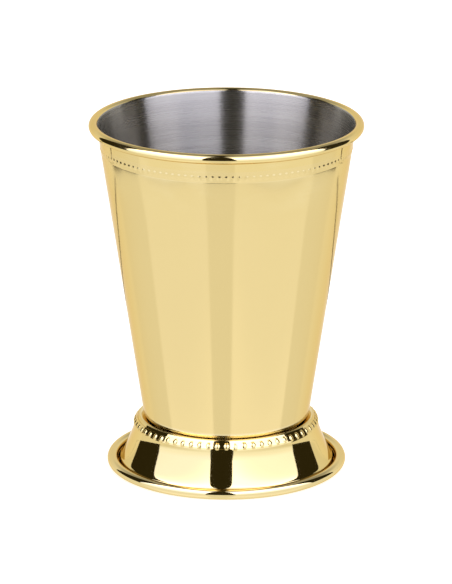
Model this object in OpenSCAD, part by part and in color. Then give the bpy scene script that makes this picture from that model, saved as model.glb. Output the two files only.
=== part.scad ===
// Julep cup: a drinking cup of sheet metal, with a tapered bowl that ends in a rolled lip and stands
// on a flared foot with a rolled edge. A strip of half-round pearls runs round the foot's shoulder.
//
// Lengths are in millimetres and angles in degrees. +Z is up, and the origin is the centre of the
// plane that the foot rests on. Each shell is one thickness of sheet: it is drawn as the outline of
// its outer face, as points [radius, height], and thickened towards its inside.

/* [Bowl] */
// Overall height, from the table to the top of the rolled lip
cup_h = 111; // [100:0.5:125]
// Diameter over the rolled lip
lip_d = 85; // [80:0.5:92]
// Diameter of the tube that the lip is rolled to
lip_roll_d = 3; // [2.7:0.05:3.6]
// Gap between the lip's tucked edge and the bowl's side
lip_gap = 0.1; // [0.05:0.01:0.3]
// Diameter where the bowl's side would meet its underside in a sharp corner
floor_d = 51.5; // [48:0.5:54]
// Height of the bowl's underside above the table
floor_h = 15.3; // [14:0.1:18]
// Outside radius of the bend between the bowl's side and its underside
floor_bend_r = 2.5; // [2:0.1:3.5]
// Sheet thickness of the bowl
bowl_t = 0.5; // [0.4:0.05:0.7]

/* [Scored line] */
// Distance from the top of the lip down to the line scored round the bowl
line_drop = 9.45; // [6:0.1:14]
// Width of the scored line
line_w = 0.4; // [0.2:0.05:0.8]
// Depth of the scored line
line_depth = 0.05; // [0.03:0.01:0.15]

/* [Foot] */
// Diameter over the foot's rolled edge
foot_d = 75; // [72:0.5:82]
// Diameter of the tube that the foot's edge is rolled to
foot_roll_d = 3.1; // [2.8:0.05:3.3]
// Width of the flat land under the rolled edge, which the cup rests on
land_w = 0.8; // [0.5:0.1:1]
// Angle by which the sheet turns up again behind the land
tuck_angle = 20; // [5:1:25]
// Sheet thickness of the foot
foot_t = 0.6; // [0.4:0.05:0.65]
// Rise of the foot's folded collar above the bowl's underside
collar_rise = 1.35; // [1:0.05:1.8]
// Clear width inside the collar's fold
fold_gap = 0.2; // [0.1:0.02:0.4]
// Width of the flat ledge that the bowl is brazed to
ledge_w = 4.6; // [3:0.1:12]
// Distance from the collar's top down to the shoulder, where the skirt begins
shoulder_drop = 3.75; // [3.5:0.05:4.5]
// Distance that the shoulder stands out past the collar
shoulder_out = 1.7; // [1.4:0.05:2.4]
// Radius of the bend at the shoulder
shoulder_bend_r = 2; // [1:0.1:2.5]
// Lean of the skirt off the vertical at its top
skirt_top_lean = 16; // [8:1:22]
// Lean of the skirt off the vertical at its bottom
skirt_bottom_lean = 38; // [30:1:46]
// Height of the bottom of the groove between the skirt and the rolled edge
groove_h = 1.3; // [1.2:0.05:1.6]
// Radius of the groove
groove_r = 0.5; // [0.4:0.05:0.7]

/* [Pearls] */
// Diameter of a pearl
pearl_d = 2.5; // [2:0.05:2.6]
// Distance from one pearl to the next along the strip
pearl_pitch = 2.7; // [2.7:0.05:3.6]
// Depth of a pearl's centre behind the face that the strip is soldered to
pearl_sink = 0.35; // [0.1:0.05:0.5]
// Distance from the collar's top down to the middle of the strip
pearl_drop = 2.1; // [2:0.05:2.3]
// Width of the strip between the pearls
strip_w = 1.8; // [1:0.1:2.2]
// Thickness of the strip between the pearls
strip_t = 0.35; // [0.2:0.05:0.6]

/* [Seam] */
// Thickness of the brazing metal between the bowl and the foot's ledge
braze_t = 0.15; // [0.05:0.01:0.25]

/* [Hidden] */

// Facets of a full turn and of a pearl, and the largest step round a bend
$fn = 96;
pearl_facets = 24;
bend_step = 9;
// Points of an outline that lie nearer than this are one point
same_point = 0.0001;
// Reach of the skirt's two handles, as a share of the distance that it spans, and its steps
skirt_handle_share = 0.36;
skirt_steps = 10;

// Bowl: the rolled lip, the straight side that touches it, and the bend at the floor
lip_r = lip_roll_d / 2;
lip_hollow_r = lip_r - bowl_t;
lip_c = [lip_d / 2 - lip_r, cup_h - lip_r];
side_foot = [floor_d / 2, floor_h];
side_lean = lean_past(side_foot, lip_c, lip_hollow_r);
floor_c = bend_centre(side_foot, floor_bend_r, -90, -side_lean);
lip_end = acos((lip_hollow_r - lip_gap) / lip_r) - 180 - side_lean;
line_h = cup_h - line_drop;

// Foot, inside: the ledge under the bowl, and the collar that stands round the bowl's bend
collar_h = floor_h + collar_rise;
ledge_h = floor_h - braze_t;
ledge_bend_r = floor_bend_r + braze_t;
fold_r = foot_t + fold_gap / 2;
fold_angle = asin((floor_c.y - collar_h + fold_r) / (ledge_bend_r + fold_r));
fold_c = floor_c + polar(ledge_bend_r + fold_r, -fold_angle);
ledge_start = [floor_c.x - ledge_w, ledge_h];

// Foot, outside: the seat of the pearls, the shoulder, the groove and the rolled edge
shoulder = [fold_c.x + fold_r + shoulder_out, collar_h - shoulder_drop];
seat_lean = -lean_past(shoulder, fold_c, -fold_r);
shoulder_c = bend_centre(shoulder, shoulder_bend_r, seat_lean, skirt_top_lean);
foot_roll_r = foot_roll_d / 2;
foot_roll_c = [foot_d / 2 - foot_roll_r, foot_roll_r];
groove_rise = groove_h + groove_r - foot_roll_r;
groove_angle = -asin(groove_rise / (groove_r + foot_roll_r));
groove_c = foot_roll_c - polar(groove_r + foot_roll_r, groove_angle);

// Pearls: where the strip lies on its seat, and how many pearls go round it
seat_normal = polar(1, seat_lean);
strip_c = shoulder + (shoulder_drop - pearl_drop) * [-tan(seat_lean), 1];
pearl_c = strip_c - pearl_sink * seat_normal;
pearl_count = round(2 * PI * pearl_c.x / pearl_pitch);

// Point at a distance and an angle from the origin of an outline
function polar(r, angle) = r * [cos(angle), sin(angle)];

// Direction of a line that goes down, leaning outwards from the vertical
function downwards(lean) = [sin(lean), -cos(lean)];

// Lean off the vertical of the line that rises from a point and passes a circle on its inner side,
// or on its outer side where the radius is negative
function lean_past(point, centre, r) =
    let (to = centre - point)
    atan2(to.x, to.y) - asin(r / norm(to));

// Centre of a bend in a corner, where the face's normal turns from one angle to another
function bend_centre(corner, r, from, to) =
    corner - r * (polar(1, from) + polar(1, to)) / (1 + cos(from - to));

// Points round a bend
function bend(centre, r, from, to) =
    let (steps = ceil(abs(to - from) / bend_step))
    [for (i = [0:steps]) centre + polar(r, from + (to - from) * i / steps)];

// Points of the smooth curve from p to q that leaves in one direction and arrives in another
function sweep(p, leave, q, arrive) =
    let (reach = skirt_handle_share * norm(q - p), a = p + reach * leave, b = q - reach * arrive)
    [for (i = [0:skirt_steps])
        let (t = i / skirt_steps, s = 1 - t)
        s * s * s * p + 3 * s * s * t * a + 3 * s * t * t * b + t * t * t * q];

// One outline from its stretches in order, with each shared end taken once
function joined(stretches) =
    let (points = [for (stretch = stretches) each stretch])
    [for (i = [0:len(points) - 1])
        if (i == 0 || norm(points[i] - points[max(i - 1, 0)]) > same_point) points[i]];

// Unit vector to the left of the step that starts at point i
function left_of(outline, i) =
    let (step = outline[i + 1] - outline[i])
    [-step.y, step.x] / norm(step);

// The other face of a sheet whose thickness lies to the left of an outline, or to its right where
// the thickness is negative
function other_face(outline, thickness) =
    let (last = len(outline) - 1)
    [for (i = [0:last])
        let (a = left_of(outline, max(i - 1, 0)), b = left_of(outline, min(i, last - 1)))
        outline[i] + thickness * (a + b) / (1 + a * b)];

function reversed(outline) = [for (i = [len(outline) - 1:-1:0]) outline[i]];

// A shell: the sheet between two faces, turned round the axis
module spun(outer_face, inner_face) {
    rotate_extrude() polygon(concat(outer_face, reversed(inner_face)));
}

// Bowl, one sheet from the middle of the floor to the lip's tucked edge, with the line scored in it
function bowl_outline(side = []) = joined([
    [[0, floor_h]],
    bend(floor_c, floor_bend_r, -90, -side_lean),
    side,
    bend(lip_c, lip_hollow_r, 180 - side_lean, lip_end),
]);

function side_at(h) = side_foot + (h - floor_h) * [tan(side_lean), 1];

scored_line = [
    side_at(line_h - line_w / 2),
    side_at(line_h) + polar(line_depth, 180 - side_lean),
    side_at(line_h + line_w / 2),
];

module cup_shell() {
    color("goldenrod") spun(bowl_outline(scored_line), other_face(bowl_outline(), bowl_t));
}

// Foot, one sheet from the ledge under the bowl, over the collar, down the skirt to the rolled edge
foot_outline = joined([
    [ledge_start],
    bend(floor_c, ledge_bend_r, -90, -fold_angle),
    bend(fold_c, fold_r, 180 - fold_angle, seat_lean),
    bend(shoulder_c, shoulder_bend_r, seat_lean, skirt_top_lean),
    sweep(
        shoulder_c + polar(shoulder_bend_r, skirt_top_lean), downwards(skirt_top_lean),
        groove_c + polar(groove_r, skirt_bottom_lean - 180), downwards(skirt_bottom_lean)
    ),
    bend(groove_c, groove_r, skirt_bottom_lean - 180, groove_angle),
    bend(foot_roll_c, foot_roll_r, groove_angle + 180, -90),
    bend(foot_roll_c - [land_w, 0], foot_roll_r, -90, -90 - tuck_angle),
]);

module foot_shell() {
    color("gold") spun(foot_outline, other_face(foot_outline, -foot_t));
}

// Strip of pearls, cut off flat at the back to lie on its conical seat
module pearl_strip() {
    along = downwards(seat_lean) * strip_w / 2;
    out = seat_normal * strip_t;
    seat_low = strip_c - pearl_d * [-tan(seat_lean), 1];
    seat_high = strip_c + pearl_d * [-tan(seat_lean), 1];
    color("khaki") difference() {
        union() {
            rotate_extrude() polygon([
                strip_c + along - out,
                strip_c + along + out,
                strip_c - along + out,
                strip_c - along - out,
            ]);
            for (i = [0:pearl_count - 1])
                rotate([0, 0, i * 360 / pearl_count])
                    translate([pearl_c.x, 0, pearl_c.y])
                        sphere(d = pearl_d, $fn = pearl_facets);
        }
        translate([0, 0, seat_low.y])
            cylinder(h = seat_high.y - seat_low.y, r1 = seat_low.x, r2 = seat_high.x);
    }
}

// Brazing metal that joins the bowl's underside to the foot's ledge
module braze_ring() {
    color("darkkhaki")
        rotate_extrude()
            translate(ledge_start)
                square([ledge_w, braze_t]);
}

cup_shell();
foot_shell();
pearl_strip();
braze_ring();
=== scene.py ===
"""A julep cup of gold-plated sheet metal on a white table: its meshes, finishes, studio and camera."""
import logging
import math
import random
from dataclasses import dataclass
from enum import Enum, IntEnum
from typing import Callable, Optional, Sequence, Union

import bpy
from mathutils import Matrix, Vector


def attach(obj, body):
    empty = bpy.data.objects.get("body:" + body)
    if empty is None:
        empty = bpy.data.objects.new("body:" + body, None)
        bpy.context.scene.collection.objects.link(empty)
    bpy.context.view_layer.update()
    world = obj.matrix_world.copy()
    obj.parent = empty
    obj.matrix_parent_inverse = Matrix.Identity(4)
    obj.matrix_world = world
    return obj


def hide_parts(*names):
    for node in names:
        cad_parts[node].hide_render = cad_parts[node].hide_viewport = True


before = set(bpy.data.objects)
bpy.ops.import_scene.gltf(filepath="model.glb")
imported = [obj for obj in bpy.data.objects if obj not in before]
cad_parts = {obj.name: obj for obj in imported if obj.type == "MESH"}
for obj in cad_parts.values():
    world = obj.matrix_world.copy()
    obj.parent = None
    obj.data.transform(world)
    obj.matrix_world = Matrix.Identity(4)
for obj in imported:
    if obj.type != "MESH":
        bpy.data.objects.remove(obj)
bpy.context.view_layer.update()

LOG = logging.getLogger("cup")

# Sizes are fields in millimetres, as the part's source gives them, and meshes are in metres
MM = 0.001
MICROMETRE = 0.000001
# Points of an outline that lie nearer than this are one point
SAME_POINT = 0.0001
# Angle in degrees past which an edge is drawn sharp
SHARP_PAST = 40.0
# Points of a mesh round the cup, two for each embossed bead
COLUMNS = 236

Outline = list[Vector]
Pair = tuple[float, float]
Triple = tuple[float, float, float]
Colour = Triple
Input = Union[float, tuple, "Socket"]


class Slot(Enum):
    """Names of the record's material slots."""

    SATIN_GOLD = "satin_gold"
    POLISHED_GOLD = "polished_gold"
    BRAZE = "braze"


class Look(IntEnum):
    """Finishes of the bowl's faces, in the order of its materials."""

    SIDE = 0
    LIP = 1
    STEEL = 2


# Outlines of sheet, as points [radius, height] in millimetres


def polar(radius: float, angle: float) -> Vector:
    """A point of an outline by its distance and angle in degrees from the origin."""
    return Vector((radius * math.cos(math.radians(angle)), radius * math.sin(math.radians(angle))))


def downwards(lean: float) -> Vector:
    """The direction of a line that goes down, leaning outwards from the vertical."""
    return Vector((math.sin(math.radians(lean)), -math.cos(math.radians(lean))))


def lean_past(point: Vector, centre: Vector, radius: float) -> float:
    """Lean off the vertical of the line that rises from a point and passes a circle.

    Args:
        point: Where the line starts.
        centre: The circle's centre.
        radius: The circle's radius, negative where the line passes on the circle's outer side.

    Returns:
        The lean in degrees.
    """
    way = centre - point
    return math.degrees(math.atan2(way.x, way.y) - math.asin(radius / way.length))


def bend_centre(corner: Vector, radius: float, start: float, end: float) -> Vector:
    """Centre of a bend in a corner.

    Args:
        corner: Where the two straights would meet.
        radius: The bend's radius.
        start: Angle of the face's normal before the bend.
        end: Angle of the face's normal after the bend.

    Returns:
        The centre of the bend.
    """
    return corner - radius * (polar(1, start) + polar(1, end)) / (1 + math.cos(math.radians(start - end)))


def bend(centre: Vector, radius: float, start: float, end: float, step: float = 5.0) -> Outline:
    """Points round a bend.

    Args:
        centre: The bend's centre.
        radius: The bend's radius.
        start: Angle of the first point, seen from the centre.
        end: Angle of the last point.
        step: Largest angle from one point to the next.

    Returns:
        The points in order.
    """
    steps = math.ceil(abs(end - start) / step)
    return [centre + polar(radius, start + (end - start) * i / steps) for i in range(steps + 1)]


def sweep(start: Vector, leave: Vector, end: Vector, arrive: Vector, reach: float, steps: int) -> Outline:
    """Points of the smooth curve that leaves one point in a direction and arrives at another in one.

    Args:
        start: The first point.
        leave: Direction there.
        end: The last point.
        arrive: Direction there.
        reach: Length of the curve's handles, as a share of the distance between its ends.
        steps: Number of steps.

    Returns:
        The points in order.
    """
    length = reach * (end - start).length
    handles = (start, start + length * leave, end - length * arrive, end)
    weights = (1, 3, 3, 1)
    points = []
    for i in range(steps + 1):
        t = i / steps
        shares = [w * t ** n * (1 - t) ** (3 - n) for n, w in enumerate(weights)]
        points.append(sum((share * handle for share, handle in zip(shares, handles)), Vector((0, 0))))
    return points


def joined(*stretches: Outline) -> Outline:
    """One outline from its stretches.

    Args:
        stretches: The stretches in order. An end that two of them share is taken once.

    Returns:
        The points in order.
    """
    points: Outline = []
    for point in (point for stretch in stretches for point in stretch):
        if not points or (point - points[-1]).length > SAME_POINT:
            points.append(point)
    return points


def other_face(outline: Outline, thickness: float) -> Outline:
    """The other face of a sheet.

    Args:
        outline: One face of the sheet.
        thickness: The sheet's thickness to the left of the outline, negative where it lies to its right.

    Returns:
        The points of the other face, one for each point of the outline.
    """
    steps = [(b - a).normalized() for a, b in zip(outline, outline[1:])]
    lefts = [Vector((-step.y, step.x)) for step in steps]
    before, after = [lefts[0]] + lefts, lefts + [lefts[-1]]
    return [p + thickness * (a + b) / (1 + a.dot(b)) for p, a, b in zip(outline, before, after)]


@dataclass
class Ring:
    """One ring of a turned mesh.

    Attributes:
        point: Its point in the outline's plane, in millimetres.
        look: Number of the material between it and the next ring.
        columns: Number of points round it.
        proud: How far the face stands off that point, by the angle round the cup.
    """

    point: Vector
    look: int = 0
    columns: int = COLUMNS
    proud: Optional[Callable[[float], Vector]] = None


class Turned:
    """A mesh that is turned round the cup's axis, ring by ring, with its outside on the right of the way."""

    def __init__(self, name: str) -> None:
        """Starts an empty mesh.

        Args:
            name: The object's name.
        """
        self.name = name
        self.points: list[Vector] = []
        self.faces: list[list[int]] = []
        self.looks: list[int] = []

    def _ring(self, ring: Ring) -> list[int]:
        """Adds a ring's points, or the one point of a ring on the axis.

        Args:
            ring: The ring.

        Returns:
            The numbers of its points.
        """
        start = len(self.points)
        if ring.point.x < SAME_POINT:
            self.points.append(Vector((0, 0, ring.point.y)) * MM)
            return [start]
        for column in range(ring.columns):
            angle = math.tau * column / ring.columns
            at = ring.point + (ring.proud(angle) if ring.proud else Vector((0, 0)))
            self.points.append(Vector((at.x * math.cos(angle), at.x * math.sin(angle), at.y)) * MM)
        return list(range(start, len(self.points)))

    def _skin(self, low: list[int], high: list[int], look: int) -> None:
        """Adds the faces between two rings, whose numbers of points divide one another.

        Args:
            low: Points of the first ring on the way.
            high: Points of the next ring.
            look: Number of the faces' material.
        """
        fewer, more = sorted((len(low), len(high)))
        count = more if fewer == 1 else fewer
        for number in range(count):
            self.faces.append(self._part(low, number, count) + self._part(high, number, count)[::-1])
            self.looks.append(look)

    @staticmethod
    def _part(ring: list[int], number: int, count: int) -> list[int]:
        """The points of a ring that one face takes.

        Args:
            ring: The ring's points.
            number: The face's number round the ring.
            count: How many faces go round.

        Returns:
            The points in order.
        """
        if len(ring) == 1:
            return ring
        share = len(ring) // count
        return [ring[k % len(ring)] for k in range(number * share, (number + 1) * share + 1)]

    def turn(self, rings: list[Ring], closed: bool = True) -> None:
        """Adds a turned skin.

        Args:
            rings: The rings in order. A ring's look is that of the faces up to the next ring.
            closed: Whether the last ring meets the first.
        """
        numbers = [self._ring(ring) for ring in rings]
        for i, ring in enumerate(rings[:-1]):
            self._skin(numbers[i], numbers[i + 1], ring.look)
        if closed:
            self._skin(numbers[-1], numbers[0], rings[-1].look)

    def add(self, points: list[Vector], faces: list[list[int]]) -> None:
        """Adds a patch of the first material.

        Args:
            points: The patch's points, in metres.
            faces: Its faces, by the numbers of those points.
        """
        start = len(self.points)
        self.points.extend(points)
        self.faces.extend([[start + n for n in face] for face in faces])
        self.looks.extend([0] * len(faces))

    def build(self, materials: list[bpy.types.Material]) -> bpy.types.Object:
        """Makes the object.

        Args:
            materials: The materials, by the faces' looks.

        Returns:
            The object, in the scene.
        """
        mesh = bpy.data.meshes.new(self.name)
        mesh.from_pydata([tuple(p) for p in self.points], [], self.faces)
        for material in materials:
            mesh.materials.append(material)
        mesh.polygons.foreach_set("material_index", self.looks)
        mesh.shade_smooth()
        mesh.set_sharp_from_angle(angle=math.radians(SHARP_PAST))
        mesh.update()
        piece = bpy.data.objects.new(self.name, mesh)
        bpy.context.scene.collection.objects.link(piece)
        return piece


@dataclass(frozen=True)
class Noise:
    """Settings of a noise.

    Attributes:
        scale: Waves per metre, or waves per metre along X, Y and Z.
        detail: Number of its finer layers.
        roughness: Weight of each finer layer.
    """

    scale: Union[float, Triple]
    detail: float
    roughness: float


class Socket:
    """An output socket of a node, on which arithmetic adds Math nodes."""

    def __init__(self, graph: "Graph", socket: bpy.types.NodeSocket) -> None:
        """Wraps a socket of a graph."""
        self.graph = graph
        self.socket = socket

    def other(self, name: Union[str, int]) -> "Socket":
        """Another output of the same node."""
        return Socket(self.graph, self.socket.node.outputs[name])

    def swing(self, weight: float) -> "Socket":
        """A noise taken about its middle and weighted."""
        return (self - 0.5) * weight

    def _math(self, operation: str, first: Input, second: Input) -> "Socket":
        """The result of one Math node."""
        return self.graph.add("ShaderNodeMath", {"operation": operation}, {0: first, 1: second})

    def __add__(self, value: Input) -> "Socket":
        """Sum."""
        return self._math("ADD", self, value)

    def __radd__(self, value: Input) -> "Socket":
        """Sum, the other way round."""
        return self._math("ADD", value, self)

    def __sub__(self, value: Input) -> "Socket":
        """Difference."""
        return self._math("SUBTRACT", self, value)

    def __rsub__(self, value: Input) -> "Socket":
        """Difference, the other way round."""
        return self._math("SUBTRACT", value, self)

    def __mul__(self, value: Input) -> "Socket":
        """Product."""
        return self._math("MULTIPLY", self, value)

    def __rmul__(self, value: Input) -> "Socket":
        """Product, the other way round."""
        return self._math("MULTIPLY", value, self)


class Graph:
    """The nodes of a material or of the world."""

    def __init__(self, tree: bpy.types.NodeTree) -> None:
        """Empties a node tree and works on it."""
        self.tree = tree
        tree.nodes.clear()

    def add(self, kind: str, settings: Optional[dict] = None, inputs: Optional[dict] = None,
            output: Union[str, int] = 0) -> Socket:
        """Adds a node.

        Args:
            kind: The node's type.
            settings: Its settings, which are set first.
            inputs: Values or sockets, by the name or number of the input. A colour is three numbers.
            output: The output that is returned.

        Returns:
            The output's socket, or the first input's on a node that has no output.
        """
        node = self.tree.nodes.new(kind)
        for name, value in (settings or {}).items():
            setattr(node, name, value)
        for name, value in (inputs or {}).items():
            socket = node.inputs[name]
            if isinstance(value, Socket):
                self.tree.links.new(value.socket, socket)
            else:
                socket.default_value = (*value, 1) if socket.type == "RGBA" else value
        return Socket(self, node.outputs[output] if len(node.outputs) else node.inputs[0])

    def blend(self, share: Input, first: Input, second: Input) -> Socket:
        """Mixes two colours: share 0 is the first and 1 the second."""
        return self.add("ShaderNodeMix", {"data_type": "RGBA"}, {0: share, 6: first, 7: second}, output=2)

    def ease(self, value: Input, low: float, high: float, start: float = 0.0, end: float = 1.0) -> Socket:
        """Takes a value from one range smoothly to another and keeps it there.

        Args:
            value: The value.
            low: Where the range starts.
            high: Where the range ends.
            start: Result at the range's start.
            end: Result at the range's end.

        Returns:
            The result.
        """
        return self.add("ShaderNodeMapRange", {"interpolation_type": "SMOOTHSTEP"},
                        {"Value": value, "From Min": low, "From Max": high, "To Min": start, "To Max": end})

    def noise(self, place: Socket, kind: Noise) -> Socket:
        """A noise of 0 to 1 about 0.5.

        Args:
            place: Where it is read.
            kind: Its settings.

        Returns:
            The noise.
        """
        scale = kind.scale
        if isinstance(scale, tuple):
            place, scale = self.stretched(place, scale), 1.0
        return self.add("ShaderNodeTexNoise", {}, {
            "Vector": place, "Scale": scale, "Detail": kind.detail, "Roughness": kind.roughness})

    def stretched(self, place: Socket, factors: Triple) -> Socket:
        """A place with its three coordinates multiplied."""
        return self.add("ShaderNodeVectorMath", {"operation": "MULTIPLY"}, {0: place, 1: factors})

    def metal(self, colour: Input, roughness: Input, lift: Input, depth: float,
              more: Optional[dict] = None) -> None:
        """Ends the graph with bare metal.

        Args:
            colour: The metal's colour.
            roughness: Its roughness.
            lift: Height of its fine relief.
            depth: Depth in metres of a relief of 1.
            more: Values of the shader's other inputs.
        """
        bump = self.add("ShaderNodeBump", {}, {"Strength": 1.0, "Distance": depth, "Height": lift})
        shader = self.add("ShaderNodeBsdfPrincipled", {}, {
            "Base Color": colour, "Metallic": 1.0, "Roughness": roughness, "Normal": bump, **(more or {})})
        self.surface(shader)

    def surface(self, shader: Socket) -> None:
        """Ends a material's graph with its shader."""
        self.add("ShaderNodeOutputMaterial", {}, {"Surface": shader})


def new_material(name: str) -> tuple[bpy.types.Material, Graph]:
    """A new material.

    Args:
        name: The material's name.

    Returns:
        The material and its empty graph.
    """
    material = bpy.data.materials.new(name)
    material.use_nodes = True
    return material, Graph(material.node_tree)


@dataclass(frozen=True)
class Plating:
    """Gold plating over sheet steel, with polishing lines that run round the cup, light wear and haze.

    A height or a radius is a pair in metres: where its effect starts, and where it is whole.

    Attributes:
        name: The material's name.
        colour: The plating's colour.
        uneven: Share by which that colour changes from place to place.
        worn: Its colour where it is rubbed.
        worn_share: How much of that colour shows there.
        thin: Its colour where it is thin, in the fold behind the collar and on the foot's rolled edge.
        edge: Tint of what it reflects at a grazing angle.
        roughness: Roughness of the clean metal.
        haze: Roughness that handling adds in patches.
        rubbed_rough: Roughness that rubbing adds.
        grain: Depth of the polishing lines in micrometres.
        wave: Depth of the slow waves that spinning leaves in the sheet, in micrometres.
        patch_tone: How strongly the patches change the colour's tone.
        line_tone: How strongly the lines change it.
        line_rub: How strongly the lines break up what is rubbed.
        line_haze: Haze along the lines, as a share of that in patches.
        thread_share: Depth of the finest lines, as a share of the grain.
        lines: Noise of the polishing lines.
        threads: Noise of the finest lines.
        spun: Noise of the slow waves.
        patches: Noise of the patches of haze and wear.
        patch_range: Values of that noise between which rubbing shows.
        specks: Noise of the dull specks.
        speck_range: Values of that noise between which a speck shows.
        lip_rubbed: Heights at which the lip is rubbed.
        foot_rubbed: Radii at which the foot's edge is rubbed.
        fold_height: Heights at which the plating is thin in the fold.
        fold_radius: Radii at which it is thin there.
        roll_height: Heights at which it is thin on the rolled edge.
        roll_radius: Radii at which it is thin there.
        roll_share: How thin it is there, from 0 to 1.
    """

    name: str
    colour: Colour = (0.73, 0.572, 0.242)
    uneven: float = 0.035
    worn: Colour = (0.76, 0.62, 0.31)
    worn_share: float = 0.6
    thin: Colour = (0.83, 0.73, 0.46)
    edge: Colour = (0.86, 0.72, 0.5)
    roughness: float = 0.1
    haze: float = 0.03
    rubbed_rough: float = 0.05
    grain: float = 1.0
    wave: float = 2.0
    patch_tone: float = 0.35
    line_tone: float = 0.25
    line_rub: float = 0.6
    line_haze: float = 0.8
    thread_share: float = 0.4
    lines: Noise = Noise((60, 60, 9000), 3.0, 0.65)
    threads: Noise = Noise((180, 180, 26000), 2.0, 0.6)
    spun: Noise = Noise((25, 25, 160), 1.0, 0.4)
    patches: Noise = Noise(55.0, 3.0, 0.55)
    patch_range: Pair = (0.45, 0.75)
    specks: Noise = Noise(900.0, 2.0, 0.6)
    speck_range: Pair = (0.68, 0.8)
    lip_rubbed: Pair = (0.1095, 0.111)
    foot_rubbed: Pair = (0.0370, 0.0376)
    fold_height: Pair = (0.0182, 0.0168)
    fold_radius: Pair = (0.0273, 0.0269)
    roll_height: Pair = (0.006, 0.004)
    roll_radius: Pair = (0.0343, 0.0350)
    roll_share: float = 0.25

    def make(self) -> bpy.types.Material:
        """Builds the material.

        Returns:
            The material.
        """
        material, graph = new_material(self.name)
        place = graph.add("ShaderNodeTexCoord", output="Object")
        height = graph.add("ShaderNodeSeparateXYZ", {}, {0: place}, output="Z")
        flat = graph.stretched(place, (1, 1, 0))
        radius = graph.add("ShaderNodeVectorMath", {"operation": "LENGTH"}, {0: flat}, output="Value")
        kinds = (self.lines, self.threads, self.spun, self.patches, self.specks)
        lines, threads, spun, patches, specks = (graph.noise(place, kind) for kind in kinds)
        rubbed = (graph.ease(height, *self.lip_rubbed) + graph.ease(radius, *self.foot_rubbed)) \
            * graph.ease(patches + lines.swing(self.line_rub), *self.patch_range)
        fold = graph.ease(height, *self.fold_height) * graph.ease(radius, *self.fold_radius)
        roll = graph.ease(height, *self.roll_height) * graph.ease(radius, *self.roll_radius)
        deep = tuple((1 - self.uneven) * part for part in self.colour)
        pale = tuple((1 + self.uneven) * part for part in self.colour)
        tone = patches.swing(self.patch_tone) + lines.swing(self.line_tone) + 0.5
        plated = graph.blend(tone, deep, pale)
        thinned = graph.blend(fold + roll * self.roll_share, plated, self.thin)
        colour = graph.blend(rubbed * self.worn_share, thinned, self.worn)
        rough = self.roughness + patches.swing(self.haze) + lines.swing(self.line_haze * self.haze) \
            + graph.ease(specks, *self.speck_range) * self.haze + rubbed * self.rubbed_rough
        lift = lines.swing(self.grain) + threads.swing(self.thread_share * self.grain) \
            + spun.swing(self.wave)
        graph.metal(colour, rough, lift, MICROMETRE, {"Specular Tint": self.edge})
        return material


@dataclass(frozen=True)
class BrushedSteel:
    """Bare stainless steel, brushed round the cup, so that it smears reflections up and down.

    Attributes:
        name: The material's name.
        colour: The steel's colour.
        dark: Its colour in the deeper brush lines.
        tone: Its middle tone.
        tone_range: Tones between which the colour goes from dark to light.
        line_tone: How strongly the brush lines change the tone.
        band_tone: How strongly the broader bands change it.
        patch_tone: How strongly the patches change it.
        roughness: Roughness of the brushed metal.
        uneven: Roughness that changes from line to line.
        patch_uneven: The same from patch to patch, as a share of that.
        smear: How much further the finish smears across its lines than along them.
        smear_turn: Which way it smears, in turns from the lines.
        grain: Depth of the lines in micrometres.
        lines: Noise of the brush lines.
        bands: Noise of the broader bands.
        patches: Noise of the patches.
    """

    name: str
    colour: Colour = (0.385, 0.366, 0.314)
    dark: Colour = (0.31, 0.295, 0.254)
    tone: float = 0.55
    tone_range: Pair = (0.2, 0.9)
    line_tone: float = 0.9
    band_tone: float = 0.8
    patch_tone: float = 0.3
    roughness: float = 0.27
    uneven: float = 0.04
    patch_uneven: float = 0.6
    smear: float = 1.0
    smear_turn: float = 0.25
    grain: float = 1.2
    lines: Noise = Noise((40, 40, 12000), 3.0, 0.7)
    bands: Noise = Noise((14, 14, 900), 2.0, 0.6)
    patches: Noise = Noise(45.0, 2.0, 0.5)

    def make(self) -> bpy.types.Material:
        """Builds the material.

        Returns:
            The material.
        """
        material, graph = new_material(self.name)
        place = graph.add("ShaderNodeTexCoord", output="Object")
        lines, bands, patches = (graph.noise(place, kind) for kind in (self.lines, self.bands, self.patches))
        tone = lines.swing(self.line_tone) + bands.swing(self.band_tone) \
            + patches.swing(self.patch_tone) + self.tone
        colour = graph.blend(graph.ease(tone, *self.tone_range), self.dark, self.colour)
        rough = self.roughness + lines.swing(self.uneven) + bands.swing(self.uneven) \
            + patches.swing(self.patch_uneven * self.uneven)
        lift = lines.swing(self.grain) + bands.swing(self.grain)
        graph.metal(colour, rough, lift, MICROMETRE, {
            "Anisotropic": self.smear, "Anisotropic Rotation": self.smear_turn})
        return material


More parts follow.
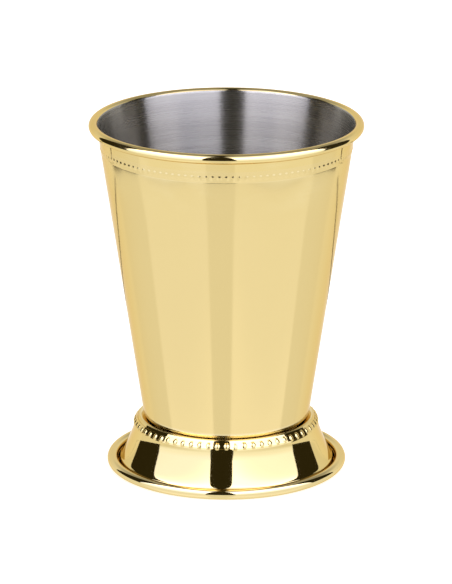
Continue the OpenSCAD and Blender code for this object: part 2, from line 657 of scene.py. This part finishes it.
@dataclass(frozen=True)
class BrazedMetal:
    """Brazing metal that has flowed and set, plated over with the cup.

    Attributes:
        name: The material's name.
        colour: The clean metal's colour.
        stained: Its colour where flux and heat have stained it.
        stains: Noise of the stains.
        stain_range: Values of that noise between which they show.
        roughness: Roughness of the set metal.
        run_rough: How strongly the ripples in which it set change the roughness.
        stain_rough: How strongly the stains change it.
        runs: Noise of the ripples.
        run_depth: Depth of those ripples in micrometres.
    """

    name: str
    colour: Colour = (0.7, 0.55, 0.25)
    stained: Colour = (0.42, 0.29, 0.13)
    stains: Noise = Noise(120.0, 3.0, 0.55)
    stain_range: Pair = (0.45, 0.7)
    roughness: float = 0.32
    run_rough: float = 0.2
    stain_rough: float = 0.15
    runs: Noise = Noise(420.0, 4.0, 0.6)
    run_depth: float = 40.0

    def make(self) -> bpy.types.Material:
        """Builds the material.

        Returns:
            The material.
        """
        material, graph = new_material(self.name)
        place = graph.add("ShaderNodeTexCoord", output="Object")
        runs, stains = graph.noise(place, self.runs), graph.noise(place, self.stains)
        colour = graph.blend(graph.ease(stains, *self.stain_range), self.colour, self.stained)
        rough = self.roughness + runs.swing(self.run_rough) + stains.swing(self.stain_rough)
        graph.metal(colour, rough, runs, self.run_depth * MICROMETRE)
        return material


@dataclass
class Finishes:
    """The cup's materials, each made once."""

    side: bpy.types.Material
    lip: bpy.types.Material
    steel: bpy.types.Material
    foot: bpy.types.Material
    pearls: bpy.types.Material
    braze: bpy.types.Material

    @classmethod
    def make(cls) -> "Finishes":
        """Makes the materials.

        Returns:
            The materials.
        """
        return cls(
            side=Plating("gold_side", colour=(0.73, 0.578, 0.262), grain=0.5).make(),
            lip=Plating("gold_lip", roughness=0.05, haze=0.02, grain=0.2, wave=0.5).make(),
            steel=BrushedSteel("steel_inside").make(),
            foot=Plating("gold_foot", roughness=0.05, haze=0.02, grain=0.2, wave=0.5).make(),
            pearls=Plating("gold_pearls", roughness=0.06, haze=0.02, grain=0.1, wave=0.0).make(),
            braze=BrazedMetal("braze_metal").make(),
        )


@dataclass
class Beads:
    """Row of round beads that is embossed in the bowl's side under the lip.

    Attributes:
        count: Number of beads round the bowl.
        across: Diameter of a bead.
        middle_h: Height of the beads' middles above the table.
        height: How far a bead stands out.
        fullness: How fast it falls off: 1 is a round back, and more is a flatter foot.
        columns: Points of the mesh along a bead.
        rows: Steps of the mesh up a bead.
    """

    count: int = 118
    across: float = 2.08
    middle_h: float = 102.95
    height: float = 0.115
    fullness: float = 2.0
    columns: int = 12
    rows: int = 14

    def rise(self, side: float, up: float) -> float:
        """Height of the beaded face above the plain side.

        Args:
            side: Distance from the bead's middle round the cup.
            up: Distance from the bead's middle up the side.

        Returns:
            The height.
        """
        inside = 1 - (side * side + up * up) / (self.across / 2) ** 2
        return self.height * inside ** self.fullness if inside > 0 else 0.0


@dataclass
class Bowl:
    """The bowl: one sheet from the middle of its floor to the lip's tucked edge.

    Attributes:
        cup_h: Overall height, from the table to the top of the rolled lip.
        lip_d: Diameter over the rolled lip.
        lip_roll_d: Diameter of the tube that the lip is rolled to.
        lip_gap: Gap between the lip's tucked edge and the bowl's side.
        floor_d: Diameter where the side would meet the underside in a sharp corner.
        floor_h: Height of the underside above the table.
        floor_bend_r: Outside radius of the bend between the side and the underside.
        sheet: Thickness of the sheet.
        line_drop: Distance from the top of the lip down to the scored line.
        line_w: Width of the scored line.
        line_depth: Depth of the scored line.
        line_shares: Where the line's rings lie across it, from -1 to 1.
        polish_step: Distance from where the lip's polish begins up to the next ring.
        plated_from_r: Radius from which the inner face is plated and polished as the lip is.
        floor_share: Where a ring divides the floor, as a share of its flat radius.
        side_steps: Number of equal steps from the floor up to the top of the lip.
        side_rings: How many of them, from the floor up, end in a ring of the plain side.
    """

    cup_h: float = 111
    lip_d: float = 85
    lip_roll_d: float = 3
    lip_gap: float = 0.1
    floor_d: float = 51.5
    floor_h: float = 15.3
    floor_bend_r: float = 2.5
    sheet: float = 0.5
    line_drop: float = 9.45
    line_w: float = 0.4
    line_depth: float = 0.025
    line_shares: tuple[float, ...] = (-1, -0.6, -0.25, 0, 0.25, 0.6, 1)
    polish_step: float = 1.2
    plated_from_r: float = 39.76
    floor_share: float = 0.5
    side_steps: int = 8
    side_rings: int = 6

    def __post_init__(self) -> None:
        """Works out the outline's centres and angles."""
        self.beads = Beads()
        lip_r = self.lip_roll_d / 2
        self.lip_hollow_r = lip_r - self.sheet
        self.lip_c = Vector((self.lip_d / 2 - lip_r, self.cup_h - lip_r))
        self.side_foot = Vector((self.floor_d / 2, self.floor_h))
        self.lean = lean_past(self.side_foot, self.lip_c, self.lip_hollow_r)
        self.normal = polar(1, -self.lean)
        self.floor_c = bend_centre(self.side_foot, self.floor_bend_r, -90, -self.lean)
        self.lip_end = math.degrees(math.acos((self.lip_hollow_r - self.lip_gap) / lip_r)) - 180 - self.lean
        self.line_h = self.cup_h - self.line_drop

    def side_at(self, height: float) -> Vector:
        """The point of the outer side at a height."""
        return self.side_foot + (height - self.floor_h) * Vector((math.tan(math.radians(self.lean)), 1))

    def _floor(self) -> Outline:
        """The underside from its middle to the end of the bend."""
        return joined([Vector((0, self.floor_h)), Vector((self.floor_c.x * self.floor_share, self.floor_h))],
                      bend(self.floor_c, self.floor_bend_r, -90, -self.lean))

    def _curl(self) -> Outline:
        """The outer face of the rolled lip, to its tucked edge."""
        return bend(self.lip_c, self.lip_hollow_r, 180 - self.lean, self.lip_end)

    def _low_side(self) -> Outline:
        """The plain side below the scored line.

        Returns:
            Its points from the lowest up.
        """
        rise = self.cup_h - self.floor_h
        heights = [self.floor_h + rise * k / self.side_steps for k in range(1, self.side_rings + 1)]
        return [self.side_at(height) for height in heights]

    def _line_edges(self) -> Outline:
        """The lower and the upper edge of the scored line."""
        return [self.side_at(self.line_h + share * self.line_w) for share in (-0.5, 0.5)]

    def _line_rings(self) -> list[Ring]:
        """Rings of the scored line, a rounded groove.

        Returns:
            The rings, from the lower edge to the upper.
        """
        rings = []
        for share in self.line_shares:
            depth = self.line_depth * (1 - share * share)
            point = self.side_at(self.line_h + share * self.line_w / 2) - depth * self.normal
            rings.append(Ring(point))
        return rings

    def _bead_rings(self) -> list[Ring]:
        """Rings of the embossed beads, with more columns than the rest.

        Returns:
            The rings, from the beads' lower ends to their upper ends.
        """
        beads = self.beads
        rings = []
        for row in range(beads.rows + 1):
            up = -beads.across / 2 * math.cos(math.pi * row / beads.rows)
            point = self.side_at(beads.middle_h + up * math.cos(math.radians(self.lean)))

            def proud(angle: float, up: float = up, radius: float = point.x) -> Vector:
                """How far the bead lifts the face.

                Args:
                    angle: Angle round the cup.
                    up: Distance of the ring up the side from the beads' middles.
                    radius: The ring's radius.

                Returns:
                    The lift, in the outline's plane.
                """
                pitch = math.tau / beads.count
                off = (angle % pitch - pitch / 2) * radius
                return beads.rise(off, up) * self.normal
            rings.append(Ring(point, columns=beads.count * beads.columns, proud=proud))
        return rings

    def _inner_rings(self) -> list[Ring]:
        """Rings of the sheet's inner face, from the tucked edge back to the middle of the floor.

        Returns:
            The rings.
        """
        outer = joined(self._floor(), self._line_edges(), self._curl())
        rings = []
        for point in reversed(other_face(outer, self.sheet)):
            rings.append(Ring(point, Look.STEEL if point.x < self.plated_from_r else Look.LIP))
        return rings

    def build(self, finishes: Finishes) -> bpy.types.Object:
        """Builds the bowl.

        Args:
            finishes: The cup's materials.

        Returns:
            The bowl's object.
        """
        under_lip = self.beads.middle_h + self.beads.across
        low = joined(self._floor(), self._low_side())
        top = [self.side_at(under_lip), self.side_at(under_lip + self.polish_step)] + self._curl()
        rings = [Ring(point, Look.SIDE) for point in low]
        rings += self._line_rings() + self._bead_rings()
        rings += [Ring(point, Look.LIP) for point in top]
        rings += self._inner_rings()
        mesh = Turned("bowl")
        mesh.turn(rings, closed=False)
        piece = mesh.build([finishes.side, finishes.lip, finishes.steel])
        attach(piece, "root")
        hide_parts("cup_shell")
        LOG.info("bowl: %d faces, side lean %.2f degrees, %d beads", len(mesh.faces), self.lean,
                 self.beads.count)
        return piece


@dataclass
class Foot:
    """The foot: one sheet from the ledge under the bowl, over the collar, down to the rolled edge.

    Attributes:
        bowl: The bowl that it holds.
        foot_d: Diameter over the rolled edge.
        roll_d: Diameter of the tube that the edge is rolled to.
        roll_tuck: Angle by which the sheet goes on past the tube's inner side.
        crease_w: Width of the crease between the skirt and the rolled edge.
        crease_bend_r: Radius of the bend at its bottom.
        sheet: Thickness of the sheet.
        collar_rise: Rise of the collar above the bowl's underside.
        collar_out: Distance from the bowl's sharp corner out to the middle of the collar's fold.
        fold_gap: Clear width inside that fold.
        ledge_w: Width of the flat ledge that the bowl is brazed to.
        shoulder_drop: Distance from the collar's top down to the shoulder, where the skirt begins.
        shoulder_out: Distance that the shoulder stands out past the collar.
        shoulder_bend_r: Radius of the bend at the shoulder.
        skirt_top_lean: Lean of the skirt off the vertical at its top.
        skirt_turn_r: Radius of the slow turn below the shoulder.
        skirt_turn_lean: Lean of the skirt where that turn ends.
        skirt_bottom_lean: Lean of the skirt at its bottom.
        skirt_edge_h: Height of the corner where the skirt falls into the crease.
        skirt_edge_r: Radius of the bend there.
        skirt_reach: Reach of the skirt's two handles, as a share of the distance that it spans.
        skirt_steps: Steps of the skirt's curve.
        turn_step: Largest angle from one point to the next on the slow turn.
        edge_step: The same for the bend above the crease.
        crease_step: The same for the crease.
        braze_t: Thickness of the brazing metal between the bowl and the ledge.
    """

    bowl: Bowl
    foot_d: float = 75
    roll_d: float = 3.3
    roll_tuck: float = 20
    crease_w: float = 0.75
    crease_bend_r: float = 0.5
    sheet: float = 0.5
    collar_rise: float = 0.9
    collar_out: float = 1.15
    fold_gap: float = 0.3
    ledge_w: float = 4.6
    shoulder_drop: float = 2.6
    shoulder_out: float = 1.3
    shoulder_bend_r: float = 2
    skirt_top_lean: float = 9
    skirt_turn_r: float = 14
    skirt_turn_lean: float = 21
    skirt_bottom_lean: float = 50
    skirt_edge_h: float = 2.4
    skirt_edge_r: float = 0.6
    skirt_reach: float = 0.13
    skirt_steps: int = 28
    turn_step: float = 2.0
    edge_step: float = 8.0
    crease_step: float = 15.0
    braze_t: float = 0.15

    def __post_init__(self) -> None:
        """Works out the outline's centres and angles from the bowl that the foot holds."""
        bowl = self.bowl
        collar_h = bowl.floor_h + self.collar_rise
        self.ledge_bend_r = bowl.floor_bend_r + self.braze_t
        self.fold_r = self.sheet + self.fold_gap / 2
        self.fold_c = Vector((bowl.floor_d / 2 + self.collar_out, collar_h - self.fold_r))
        across = self.fold_c - bowl.floor_c
        self.fold_angle = math.degrees(
            math.acos((self.ledge_bend_r + self.fold_r) / across.length) - math.atan2(across.y, across.x))
        self.ledge_start = Vector((bowl.floor_c.x - self.ledge_w, bowl.floor_h - self.braze_t))
        shoulder_r = self.fold_c.x + self.fold_r + self.shoulder_out
        self.shoulder = Vector((shoulder_r, collar_h - self.shoulder_drop))
        self.seat_lean = -lean_past(self.shoulder, self.fold_c, -self.fold_r)
        self.shoulder_c = bend_centre(
            self.shoulder, self.shoulder_bend_r, self.seat_lean, self.skirt_top_lean)
        roll_r = self.roll_d / 2
        self.roll_c = Vector((self.foot_d / 2 - roll_r, roll_r))
        wall = self.foot_d / 2 - self.roll_d - self.crease_w
        skirt_edge = Vector((wall, self.skirt_edge_h))
        self.edge_c = bend_centre(skirt_edge, self.skirt_edge_r, self.skirt_bottom_lean, 0)
        self.crease_c = Vector((wall + self.crease_bend_r, self.sheet + self.crease_bend_r))

    def outline(self) -> Outline:
        """Draws the upper face.

        Returns:
            Its points, from the ledge to the inside of the rolled edge.
        """
        top, turned, low = self.skirt_top_lean, self.skirt_turn_lean, self.skirt_bottom_lean
        turn_c = self.shoulder_c + polar(self.shoulder_bend_r + self.skirt_turn_r, top)
        return joined(
            [self.ledge_start],
            bend(self.bowl.floor_c, self.ledge_bend_r, -90, -self.fold_angle),
            bend(self.fold_c, self.fold_r, 180 - self.fold_angle, self.seat_lean),
            bend(self.shoulder_c, self.shoulder_bend_r, self.seat_lean, top),
            bend(turn_c, self.skirt_turn_r, top - 180, turned - 180, self.turn_step),
            sweep(turn_c + polar(self.skirt_turn_r, turned - 180), downwards(turned),
                  self.edge_c + polar(self.skirt_edge_r, low), downwards(low),
                  self.skirt_reach, self.skirt_steps),
            bend(self.edge_c, self.skirt_edge_r, low, 0, self.edge_step),
            bend(self.crease_c, self.crease_bend_r, -180, -90, self.crease_step),
            bend(self.roll_c, self.roll_d / 2 - self.sheet, -90, 180 + self.roll_tuck),
        )

    def build(self, finishes: Finishes) -> bpy.types.Object:
        """Builds the foot.

        Args:
            finishes: The cup's materials.

        Returns:
            The foot's object.
        """
        outline = self.outline()
        loop = outline[::-1] + other_face(outline, -self.sheet)
        mesh = Turned("foot")
        mesh.turn([Ring(point) for point in loop])
        piece = mesh.build([finishes.foot])
        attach(piece, "root")
        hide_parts("foot_shell")
        LOG.info("foot: %d faces, seat lean %.2f degrees", len(mesh.faces), self.seat_lean)
        return piece


@dataclass
class Pearl:
    """The form of one pearl.

    Attributes:
        radius: Radius of the sphere that it is a cap of.
        slip: How far it lies off its place, along the strip and up the seat.
        stretch: Its width and its height, as shares of a round pearl's.
    """

    radius: float
    slip: Vector
    stretch: Vector


@dataclass
class PearlStrip:
    """The strip of half-round pearls that is soldered to the foot's shoulder.

    A pair is a range in which the pearls differ, except in the misshapen pearl's sizes.

    Attributes:
        foot: The foot that it lies on.
        count: Number of pearls.
        pearl_d: Diameter of the spheres that the pearls are caps of.
        sink: Depth of their centres behind the seat.
        drop: Distance from the collar's top down to the middle of the strip.
        strip_w: Width of the strip between the pearls.
        strip_t: Thickness of the strip between the pearls.
        flank: Height of the strip's upright flanks, as a share of its thickness.
        bevel: Width of the bevel over each flank, as a share of half the strip's width.
        radius_share: Share of the radius that a pearl has.
        loose: How far a pearl lies off its place.
        wide: Width of a pearl, as a share of a round one's.
        high: Height of a pearl, as a share of the usual.
        tall: The usual height, as a share of a round pearl's.
        misshapen: Number of the one misshapen pearl, where the strip's ends meet.
        misshapen_slip: How far that pearl lies off its place, along the strip and up the seat.
        misshapen_stretch: Its width and height, as shares of a round pearl's.
        sag: How far the strip sags at the cup's left side.
        seed: Start of the random draws.
        facets: Points of the mesh round a pearl.
        rows: Steps of the mesh from a pearl's foot to its top.
    """

    foot: Foot
    count: int = 64
    pearl_d: float = 2.8
    sink: float = 0.95
    drop: float = 1.7
    strip_w: float = 1.8
    strip_t: float = 0.2
    flank: float = 0.7
    bevel: float = 0.04
    radius_share: Pair = (0.985, 1.0)
    loose: Pair = (-0.05, 0.05)
    wide: Pair = (0.97, 1.05)
    high: Pair = (0.97, 1.03)
    tall: float = 1.2
    misshapen: int = 49
    misshapen_slip: Pair = (-0.1, -0.25)
    misshapen_stretch: Pair = (0.9, 1.32)
    sag: float = 0.5
    seed: int = 64
    facets: int = 24
    rows: int = 9

    def __post_init__(self) -> None:
        """Works out where the strip lies on its seat, in the outline's plane."""
        lean = self.foot.seat_lean
        self.normal = polar(1, lean)
        self.up_seat = -downwards(lean)
        rise = (self.foot.shoulder_drop - self.drop) / math.cos(math.radians(lean))
        self.middle = self.foot.shoulder + rise * self.up_seat

    def build(self, finishes: Finishes) -> bpy.types.Object:
        """Builds the strip.

        Args:
            finishes: The cup's materials.

        Returns:
            The strip's object.
        """
        mesh = Turned("pearl_strip_dressed")
        mesh.turn([Ring(corner) for corner in self._corners()])
        rng = random.Random(self.seed)
        faces = self._pearl_faces()
        for number in range(self.count):
            mesh.add(self._pearl_points(number, self._form(number, rng)), faces)
        piece = mesh.build([finishes.pearls])
        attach(piece, "root")
        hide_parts("pearl_strip")
        LOG.info("pearl strip: %d pearls, %d faces", self.count, len(mesh.faces))
        return piece

    def _corners(self) -> Outline:
        """The strip's section in the outline's plane.

        Returns:
            Its corners, from the lower edge on the seat to the upper edge.
        """
        half, out = self.strip_w / 2 * self.up_seat, self.strip_t * self.normal
        crest, flank = (1 - self.bevel) * half, self.flank * out
        steps = (-half, flank - half, out - crest, out + crest, flank + half, half)
        return [self.middle + step for step in steps]

    def _form(self, number: int, rng: random.Random) -> Pearl:
        """Chooses the form of one pearl.

        Args:
            number: The pearl's number round the strip.
            rng: Source of the small differences between the pearls.

        Returns:
            The form.
        """
        pearl = Pearl(
            radius=self.pearl_d / 2 * rng.uniform(*self.radius_share),
            slip=Vector((rng.uniform(*self.loose), rng.uniform(*self.loose) - self._sag_at(number))),
            stretch=Vector((rng.uniform(*self.wide), self.tall * rng.uniform(*self.high))),
        )
        if number == self.misshapen:
            pearl.slip, pearl.stretch = Vector(self.misshapen_slip), Vector(self.misshapen_stretch)
        return pearl

    def _sag_at(self, number: int) -> float:
        """How far the strip sags at a pearl: only on the cup's left side."""
        way = math.tau * number / self.count - math.pi
        return self.sag * max(0.0, math.cos(way)) ** 2

    def _pearl_points(self, number: int, pearl: Pearl) -> list[Vector]:
        """Points of one pearl, a cap of a sphere that stands on the seat.

        Args:
            number: The pearl's number round the strip.
            pearl: The pearl's form.

        Returns:
            The points in metres, round by round from its foot to the one at its top.
        """
        turn = Matrix.Rotation(math.tau * number / self.count, 3, "Z")
        widest = math.acos(self.sink / pearl.radius)
        points = []
        for row in range(self.rows + 1):
            angle = widest * (1 - row / self.rows)
            across, high = pearl.radius * math.sin(angle), pearl.radius * math.cos(angle) - self.sink
            for k in range(1 if row == self.rows else self.facets):
                way = math.tau * k / self.facets
                side = across * math.cos(way) * pearl.stretch.x + pearl.slip.x
                up = across * math.sin(way) * pearl.stretch.y + pearl.slip.y
                plane = self.middle + up * self.up_seat + high * self.normal
                points.append(turn @ Vector((plane.x, side, plane.y)) * MM)
        return points

    def _pearl_faces(self) -> list[list[int]]:
        """Faces of a pearl.

        Returns:
            The faces by the numbers of its points, with its flat back last.
        """
        faces = []
        for row in range(self.rows - 1):
            for k in range(self.facets):
                a, b = row * self.facets + k, row * self.facets + (k + 1) % self.facets
                faces.append([a, b, b + self.facets, a + self.facets])
        last = (self.rows - 1) * self.facets
        for k in range(self.facets):
            faces.append([last + k, last + (k + 1) % self.facets, self.rows * self.facets])
        return faces + [list(range(self.facets))[::-1]]


@dataclass
class Seam:
    """The brazing metal between the bowl's underside and the foot's ledge.

    Attributes:
        foot: The foot that it joins to the bowl.
        overflow: How far the metal ran out past the ledge, where it ran out most.
        even: The part of that which is the same all round.
        waves: What changes round the cup: each wave's part, its number of turns and its phase.
        fillet_low: Depth of the fillet's lower corner, as a share of the metal's thickness.
        fillet_share: How far the metal ran out there, as a share of how far it ran at its top.
    """

    foot: Foot
    overflow: float = 0.5
    even: float = 0.5
    waves: tuple[Triple, ...] = ((0.22, 5, 0.6), (0.16, 11, 0), (0.12, 23, 1.1))
    fillet_low: float = 0.3
    fillet_share: float = 0.5

    def _run(self, angle: float) -> Vector:
        """How far the metal ran inwards at an angle round the cup."""
        wave = sum((part * math.sin(turns * angle + phase) for part, turns, phase in self.waves), self.even)
        return Vector((-self.overflow * wave, 0))

    def build(self, finishes: Finishes) -> bpy.types.Object:
        """Builds the ring, with an uneven fillet where the metal ran out past the ledge.

        Args:
            finishes: The cup's materials.

        Returns:
            The ring's object.
        """
        foot = self.foot
        top = foot.bowl.floor_h
        low = top - foot.braze_t
        inner, outer = foot.ledge_start.x, foot.bowl.floor_c.x
        fillet = Vector((inner, top - foot.braze_t * self.fillet_low))
        mesh = Turned("braze_seam")
        mesh.turn([
            Ring(Vector((inner, low))),
            Ring(Vector((outer, low))),
            Ring(Vector((outer, top))),
            Ring(Vector((inner, top)), proud=self._run),
            Ring(fillet, proud=lambda angle: self.fillet_share * self._run(angle)),
        ])
        piece = mesh.build([finishes.braze])
        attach(piece, "root")
        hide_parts("braze_ring")
        LOG.info("braze seam: %d faces", len(mesh.faces))
        return piece


@dataclass
class Card:
    """One card of the studio, which shows only in reflections.

    Attributes:
        name: The card's name.
        foot: Points [x, y] of its lower edge, in millimetres.
        high: Height of its upper edge.
        light: Radiance by height, as pairs of height in millimetres and colour.
        top: Points of its upper edge, one for each of the lower edge's. None is an upright card.
        low: Height of its lower edge.
    """

    name: str
    foot: list[Pair]
    high: float
    light: Sequence[tuple[float, Colour]]
    top: Optional[list[Pair]] = None
    low: float = 0.0

    def build(self) -> bpy.types.Object:
        """Builds the card.

        Returns:
            The card's object.
        """
        points, faces = [], []
        for low, high in zip(self.foot, self.top or self.foot):
            points += [Vector((*low, self.low)) * MM, Vector((*high, self.high)) * MM]
        for i in range(len(self.foot) - 1):
            faces.append([2 * i, 2 * i + 2, 2 * i + 3, 2 * i + 1])
        mesh = Turned(self.name)
        mesh.add(points, faces)
        card = mesh.build([self._material()])
        card.visible_camera = False
        card.visible_diffuse = False
        card.visible_shadow = False
        return card

    def _material(self) -> bpy.types.Material:
        """Makes the card's light.

        Returns:
            The material.
        """
        material, graph = new_material(self.name + "_light")
        height = graph.add("ShaderNodeSeparateXYZ", {}, {0: graph.add("ShaderNodeNewGeometry")}, output="Z")
        colour: Input = self.light[0][1]
        for (low, _), (high, light) in zip(self.light, self.light[1:]):
            colour = graph.blend(graph.ease(height, low * MM, high * MM), colour, light)
        graph.surface(graph.add("ShaderNodeEmission", {}, {"Color": colour, "Strength": 1.0}))
        return material


@dataclass
class Studio:
    """A white table, soft light, and the cards whose reflections the metal shows.

    Attributes:
        dark: Radiance of the dark cards.
        left_light: Radiance of the left soft box, as pairs of height in millimetres and colour.
        right_light: Radiance of the right soft box.
        box_h: Height of the soft boxes and of the dark card between them.
        side_h: Height of the dark cards beside them.
        gap_h: Height of the dark strip that stands for the gap behind the table's board.
        soft_light: Strength of the room as a light.
        room_light: Strength of the room overhead, as the metal shows it.
        room_range: Upward parts of a direction between which the room dims from 1 to that.
        lamp_size: Diameter of the lamp in metres.
        lamp_power: Power of the lamp in watts.
        lamp_place: Place of the lamp in metres.
        lamp_turn: Turn of the lamp about X and Y in degrees.
        table_reach: Half the width of the table in metres.
        table_white: Colour of the table under the lamp.
        table_glow: Light that the camera sees on it besides.
        table_light: Light of the table, as the metal shows it.
        table_gloss: How strongly the table mirrors the cup to the metal.
        table_rough: Roughness of that mirroring.
    """

    dark: Colour = (0.030, 0.025, 0.010)
    left_light: tuple[tuple[float, Colour], ...] = (
        (0, (1.0, 1.0, 1.0)), (35, (1.34, 1.46, 1.88)), (100, (1.5, 1.6, 2.3)), (240, (3.4, 3.4, 4.1)),
        (400, (4.9, 4.9, 5.9)), (540, (1.7, 1.75, 2.4)), (1100, (1.1, 1.15, 1.4)))
    right_light: tuple[tuple[float, Colour], ...] = (
        (0, (1.0, 1.0, 1.0)), (35, (1.31, 1.4, 1.7)), (100, (1.6, 1.7, 2.3)), (170, (2.7, 2.75, 3.5)),
        (330, (3.7, 3.75, 4.6)), (540, (1.5, 1.55, 2.1)), (1100, (1.05, 1.1, 1.4)))
    box_h: float = 1100
    side_h: float = 430
    gap_h: float = 0.4
    soft_light: float = 0.6
    room_light: float = 0.4
    room_range: Pair = (0.3, 0.7)
    lamp_size: float = 0.9
    lamp_power: float = 9.0
    lamp_place: Triple = (0.1, -0.1, 1.1)
    lamp_turn: Pair = (-5, 5)
    table_reach: float = 6.0
    table_white: float = 0.8
    table_glow: float = 0.62
    table_light: float = 1.05
    table_gloss: float = 0.075
    table_rough: float = 0.05

    def build(self) -> None:
        """Builds the world, the lamp, the table and the cards."""
        self._world()
        self._lamp()
        self._table()
        for card in self._cards():
            card.build()
            LOG.info("card %s", card.name)

    def _cards(self) -> list[Card]:
        """Places the cards.

        Returns:
            Two soft boxes, the dark cards between, beside and above them, and the gap behind the table.
        """
        night = [(0, self.dark)]
        return [
            Card("softbox_left", [(-106, -318), (-325, -31)], self.box_h, self.left_light),
            Card("softbox_right", [(49, -332), (335, -38)], self.box_h, self.right_light,
                 top=[(-20, -336), (335, -38)]),
            Card("flag_front", [(-107, -319), (49, -333)], self.box_h, night,
                 top=[(-107, -319), (-20, -337)]),
            Card("flag_left", [(-326, -31), (-322, 80), (-273, 170)], self.side_h, night),
            Card("flag_right", [(336, -38), (328, 60), (292, 138)], self.side_h, night),
            Card("flag_above", [(-107, -319), (-20, -337)], self.box_h, night,
                 top=[(-107, 570), (50, 570)], low=self.box_h),
            Card("board_edge", [(-250, 156), (250, 156)], self.gap_h, night,
                 top=[(-250, 164), (250, 164)], low=self.gap_h),
        ]

    def _world(self) -> None:
        """White for what sees the backdrop, greyer overhead in the metal, and softer as a light."""
        world = bpy.context.scene.world or bpy.data.worlds.new("studio")
        bpy.context.scene.world = world
        world.use_nodes = True
        graph = Graph(world.node_tree)
        path = graph.add("ShaderNodeLightPath", output="Is Camera Ray")
        up = graph.add("ShaderNodeSeparateXYZ", {}, {0: graph.add("ShaderNodeTexCoord")}, output="Z")
        room = graph.ease(up, *self.room_range, 1.0, self.room_light)
        seen = (path + path.other("Is Transmission Ray")) * (1 - self.soft_light)
        strength = self.soft_light + seen + path.other("Is Glossy Ray") * (room - self.soft_light)
        light = graph.add("ShaderNodeBackground", {}, {"Color": (1, 1, 1), "Strength": strength})
        graph.add("ShaderNodeOutputWorld", {}, {"Surface": light})

    def _lamp(self) -> None:
        """A large soft lamp overhead, for the cup's shadow on the table."""
        lamp = bpy.data.lights.new("lamp_above", "AREA")
        lamp.shape = "DISK"
        lamp.size = self.lamp_size
        lamp.energy = self.lamp_power
        holder = bpy.data.objects.new("lamp_above", lamp)
        holder.location = self.lamp_place
        holder.rotation_euler = (*map(math.radians, self.lamp_turn), 0)
        holder.visible_glossy = False
        bpy.context.scene.collection.objects.link(holder)

    def _table(self) -> None:
        """The white table, which the camera sees as plain white with the cup's faint shadow."""
        reach = self.table_reach
        mesh = Turned("table")
        mesh.add([Vector((x * reach, y * reach, 0)) for x, y in ((-1, -1), (1, -1), (1, 1), (-1, 1))],
                 [[0, 1, 2, 3]])
        material, graph = new_material("table_board")
        path = graph.add("ShaderNodeLightPath", output="Is Camera Ray")
        matt = graph.add("ShaderNodeBsdfDiffuse", {}, {"Color": (self.table_white,) * 3})
        glow = graph.add("ShaderNodeEmission", {}, {"Color": (1, 1, 1), "Strength": self.table_glow})
        to_camera = graph.add("ShaderNodeAddShader", {}, {0: matt, 1: glow})
        shine = graph.add("ShaderNodeBsdfGlossy", {}, {
            "Color": (self.table_gloss,) * 3, "Roughness": self.table_rough})
        board = graph.add("ShaderNodeEmission", {}, {"Color": (1, 1, 1), "Strength": self.table_light})
        to_metal = graph.add("ShaderNodeAddShader", {}, {0: shine, 1: board})
        graph.surface(graph.add("ShaderNodeMixShader", {}, {0: path, 1: to_metal, 2: to_camera}))
        table = mesh.build([material])


@dataclass
class Camera:
    """The photograph's camera, fitted to the outlines of the lip, the sides and the foot.

    Attributes:
        place: Its place in metres.
        down: Angle by which it looks down.
        focal_px: Focal length in pixels of the frame.
        frame_w: Width of the frame in pixels.
        frame_h: Height of the frame in pixels.
        middle_x: Column of the frame that the camera points at.
        sensor: Height of its sensor in millimetres.
        sight: How far it sees, in metres.
    """

    place: Triple = (0.0, -1.2512, 0.4376)
    down: float = 16.975
    focal_px: float = 4199.0
    frame_w: int = 452
    frame_h: int = 584
    middle_x: float = 226.4
    sensor: float = 36.0
    sight: float = 50.0

    def build(self) -> bpy.types.Object:
        """Makes the scene's camera.

        Returns:
            The camera's object.
        """
        data = bpy.data.cameras.new("camera")
        data.sensor_fit = "VERTICAL"
        data.sensor_height = self.sensor
        data.lens = self.focal_px * self.sensor / self.frame_h
        data.shift_x = (self.frame_w / 2 - self.middle_x) / self.frame_h
        data.clip_end = self.sight
        camera = bpy.data.objects.new("camera", data)
        camera.location = self.place
        camera.rotation_euler = (math.radians(90 - self.down), 0, 0)
        bpy.context.scene.collection.objects.link(camera)
        bpy.context.scene.camera = camera
        return camera


def main() -> None:
    """Builds the camera, the studio and the cup's pieces in order."""
    logging.basicConfig(level=logging.INFO, format="%(message)s")
    bpy.context.scene.view_settings.view_transform = "Standard"
    Camera().build()
    Studio().build()
    finishes = Finishes.make()
    bowl = Bowl()
    foot = Foot(bowl)
    bowl.build(finishes)
    foot.build(finishes)
    PearlStrip(foot).build(finishes)
    Seam(foot).build(finishes)


if __name__ == "__main__":
    main()
